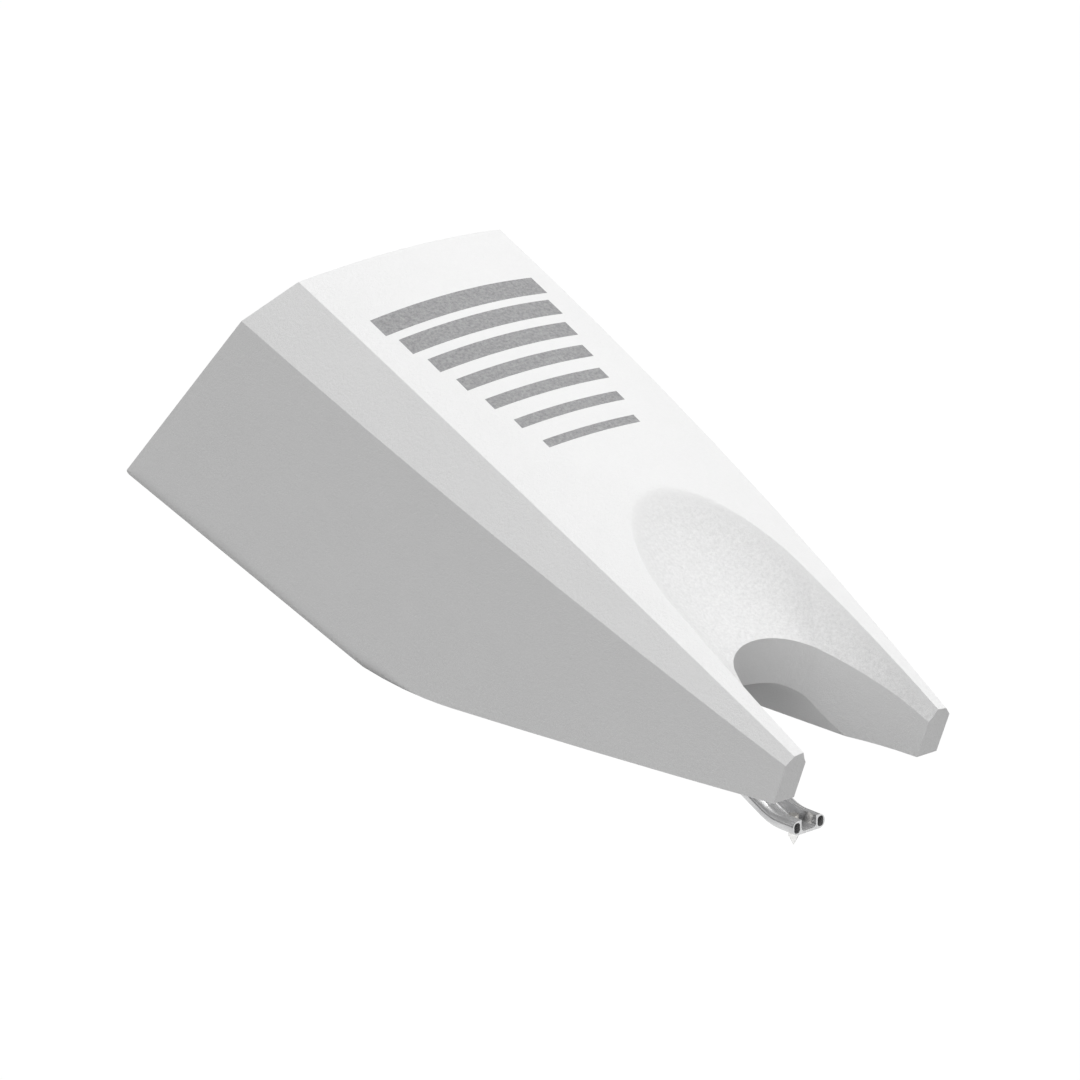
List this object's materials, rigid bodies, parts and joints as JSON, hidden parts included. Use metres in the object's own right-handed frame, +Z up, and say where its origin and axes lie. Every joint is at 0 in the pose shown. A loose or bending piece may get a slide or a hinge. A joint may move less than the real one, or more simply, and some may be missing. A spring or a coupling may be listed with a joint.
{
  "type": "turntable stylus unit",
  "caption": "Replaceable phono stylus: tapered white moulded shroud with a finger dish and a forked nose round a flattened, sprung cantilever; plugs in by its round suspension tube.",
  "frame": {"origin": "on the plug axis, where the plug leaves its boss inside the shroud, in the mirror plane", "axes": "playing attitude: +Z up from the record, +Y to the rear where the plug enters the cartridge body, X across"},
  "size_m": [0.0092, 0.0236, 0.0122],
  "materials": {
    "shroud_plastic": "white moulding with a fine spark grain",
    "tube_metal": "bright drawn tube",
    "holder_brass": "turned",
    "wire_steel": "drawn wire",
    "damper_rubber": "matt black",
    "magnet_metal": "sintered, plated",
    "sleeve_aluminium": "drawn",
    "cantilever_aluminium": "polished drawn tube, pressed flat at its end",
    "shank_metal": "ground pin",
    "tip_diamond": "ground and polished cone"
  },
  "bodies": {
    "root": {"shroud": "shroud_plastic", "suspension_tube": "tube_metal", "wire_holder": "holder_brass", "tie_wire": "wire_steel"},
    "suspension": {"damper": "damper_rubber"},
    "armature": {"magnet": "magnet_metal", "joint_sleeve": "sleeve_aluminium", "cantilever": "cantilever_aluminium", "stylus_shank": "shank_metal", "diamond_tip": "tip_diamond"}
  },
  "joints": [
    {"name": "cantilever_lift", "type": "hinge", "parent": "root", "child": "suspension", "pos_m": [0, -0.00104, -0.00049], "axis": [-1, 0, 0], "range_deg": [-3, 5], "stiffness_Nm_per_rad": 0.0144, "deforming": ["damper", "tie_wire"]},
    {"name": "cantilever_sway", "type": "hinge", "parent": "suspension", "child": "armature", "pos_m": [0, -0.00104, -0.00049], "axis": [0, -0.4226, 0.9063], "range_deg": [-4, 4], "stiffness_Nm_per_rad": 0.0144, "deforming": ["damper", "tie_wire"]}
  ]
}
